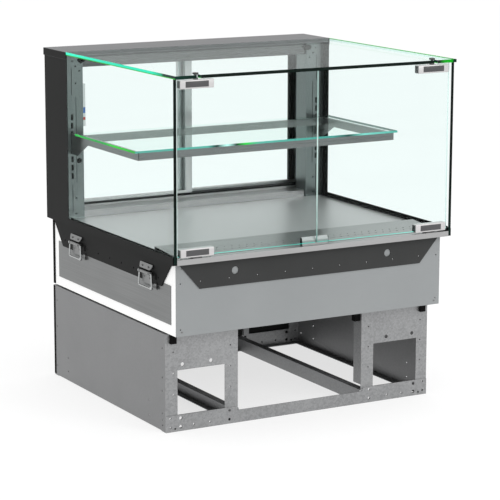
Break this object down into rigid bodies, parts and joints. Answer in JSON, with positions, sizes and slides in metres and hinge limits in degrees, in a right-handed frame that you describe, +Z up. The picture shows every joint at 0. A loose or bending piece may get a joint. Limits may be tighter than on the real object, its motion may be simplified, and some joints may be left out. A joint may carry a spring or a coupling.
{
  "type": "heated glass display case",
  "caption": "Drop-in heated food display case: two glass front doors, glass shelf, rear sliding doors, insulated body and a galvanised base.",
  "frame": {"origin": "bottom centre of the bounding box, on the floor", "axes": "+Z up, +X to the right of the customer side, the customer side faces -Y"},
  "size_m": [0.919, 0.862, 1.023],
  "materials": {
    "galvanised": "galvanised sheet with a faint spangle",
    "black_coat": "black powder coat, satin",
    "black_plastic": "black moulded plastic",
    "front_paint": "light grey, satin",
    "board_white": "white insulation board",
    "stainless": "brushed stainless steel",
    "heater_metal": "heat-darkened tube",
    "control_metal": "grey, satin",
    "rocker_red": "dark red, glossy",
    "aluminium": "satin anodised",
    "cap_grey": "mid grey, satin",
    "lamp_white": "white",
    "clear_glass": "clear tempered glass with green-blue edges",
    "shelf_glass": "clear tempered glass with green edges",
    "clamp_metal": "polished, with dark plain inset plates",
    "wire": "bright zinc-plated wire"
  },
  "bodies": {
    "case": {"base_sides": "galvanised", "base_front_leg_left": "galvanised", "base_front_leg_right": "galvanised", "base_rear_legs": "galvanised", "base_front_rail": "galvanised", "base_rear_rail": "galvanised", "base_channels": "galvanised", "base_rear_cover": "black_coat", "isolation_blocks": "black_plastic", "body_front_panel": "front_paint", "body_boards": "board_white", "body_side_plates": "stainless", "body_rear_panel": "black_coat", "body_floor": "galvanised", "heater_element": "heater_metal", "blower_housing": "galvanised", "control_box": "control_metal", "power_inlet": "black_plastic", "skirt_front": "black_coat", "skirt_sides": "black_coat", "front_rail": "aluminium", "deck_pan": "stainless", "air_strip": "stainless", "rear_sill": "stainless", "door_tracks": "black_plastic", "side_channels": "black_coat", "end_panel_left": "black_coat", "end_panel_right": "black_coat", "top_cap": "cap_grey", "header_rail": "stainless", "lamp_bar": "lamp_white", "upright_left": "stainless", "upright_right": "stainless", "side_pane_left": "clear_glass", "side_pane_right": "clear_glass", "top_pane": "clear_glass", "door_pivots": "stainless", "door_catch": "stainless", "shelf_pane": "shelf_glass", "shelf_frame": "stainless", "shelf_brackets": "stainless", "handle_plates": "stainless"},
    "door_left": {"front_door_left": "clear_glass", "hinge_clamps_left": "clamp_metal"},
    "door_right": {"front_door_right": "clear_glass", "hinge_clamps_right": "clamp_metal"},
    "slider_left": {"rear_door_frame_left": "aluminium", "rear_door_pane_left": "clear_glass", "rear_door_pull_left": "black_plastic"},
    "slider_right": {"rear_door_frame_right": "aluminium", "rear_door_pane_right": "clear_glass", "rear_door_pull_right": "black_plastic"},
    "handle_front_left": {"bail_front_left": "wire"},
    "handle_rear_left": {"bail_rear_left": "wire"},
    "handle_front_right": {"bail_front_right": "wire"},
    "handle_rear_right": {"bail_rear_right": "wire"},
    "blower": {"blower_wheel": "black_plastic"},
    "knob": {"thermostat_knob": "black_plastic"},
    "rocker": {"power_switch": "rocker_red"}
  },
  "joints": [
    {"name": "front_door_left_hinge", "type": "hinge", "parent": "case", "child": "door_left", "pos_m": [-0.385, -0.411, 0.75], "axis": [0, 0, -1], "range_deg": [0, 105]},
    {"name": "front_door_right_hinge", "type": "hinge", "parent": "case", "child": "door_right", "pos_m": [0.385, -0.411, 0.75], "axis": [0, 0, 1], "range_deg": [0, 105]},
    {"name": "rear_door_left_slide", "type": "slide", "parent": "case", "child": "slider_left", "axis": [1, 0, 0], "range_m": [0, 0.38]},
    {"name": "rear_door_right_slide", "type": "slide", "parent": "case", "child": "slider_right", "axis": [-1, 0, 0], "range_m": [0, 0.38]},
    {"name": "bail_front_left_hinge", "type": "hinge", "parent": "case", "child": "handle_front_left", "pos_m": [-0.451, -0.23, 0.446], "axis": [0, 1, 0], "range_deg": [0, 90]},
    {"name": "bail_rear_left_hinge", "type": "hinge", "parent": "case", "child": "handle_rear_left", "pos_m": [-0.451, 0.237, 0.446], "axis": [0, 1, 0], "range_deg": [0, 90]},
    {"name": "bail_front_right_hinge", "type": "hinge", "parent": "case", "child": "handle_front_right", "pos_m": [0.451, -0.23, 0.446], "axis": [0, -1, 0], "range_deg": [0, 90]},
    {"name": "bail_rear_right_hinge", "type": "hinge", "parent": "case", "child": "handle_rear_right", "pos_m": [0.451, 0.237, 0.446], "axis": [0, -1, 0], "range_deg": [0, 90]},
    {"name": "blower_spin", "type": "hinge", "parent": "case", "child": "blower", "pos_m": [0, -0.131, 0.32], "axis": [0, 0, 1], "continuous": true},
    {"name": "thermostat_turn", "type": "hinge", "parent": "case", "child": "knob", "pos_m": [0.26, 0.42, 0.425], "axis": [0, 1, 0], "range_deg": [0, 270]},
    {"name": "power_rock", "type": "hinge", "parent": "case", "child": "rocker", "pos_m": [0.335, 0.413, 0.425], "axis": [-1, 0, 0], "range_deg": [0, 18]}
  ]
}
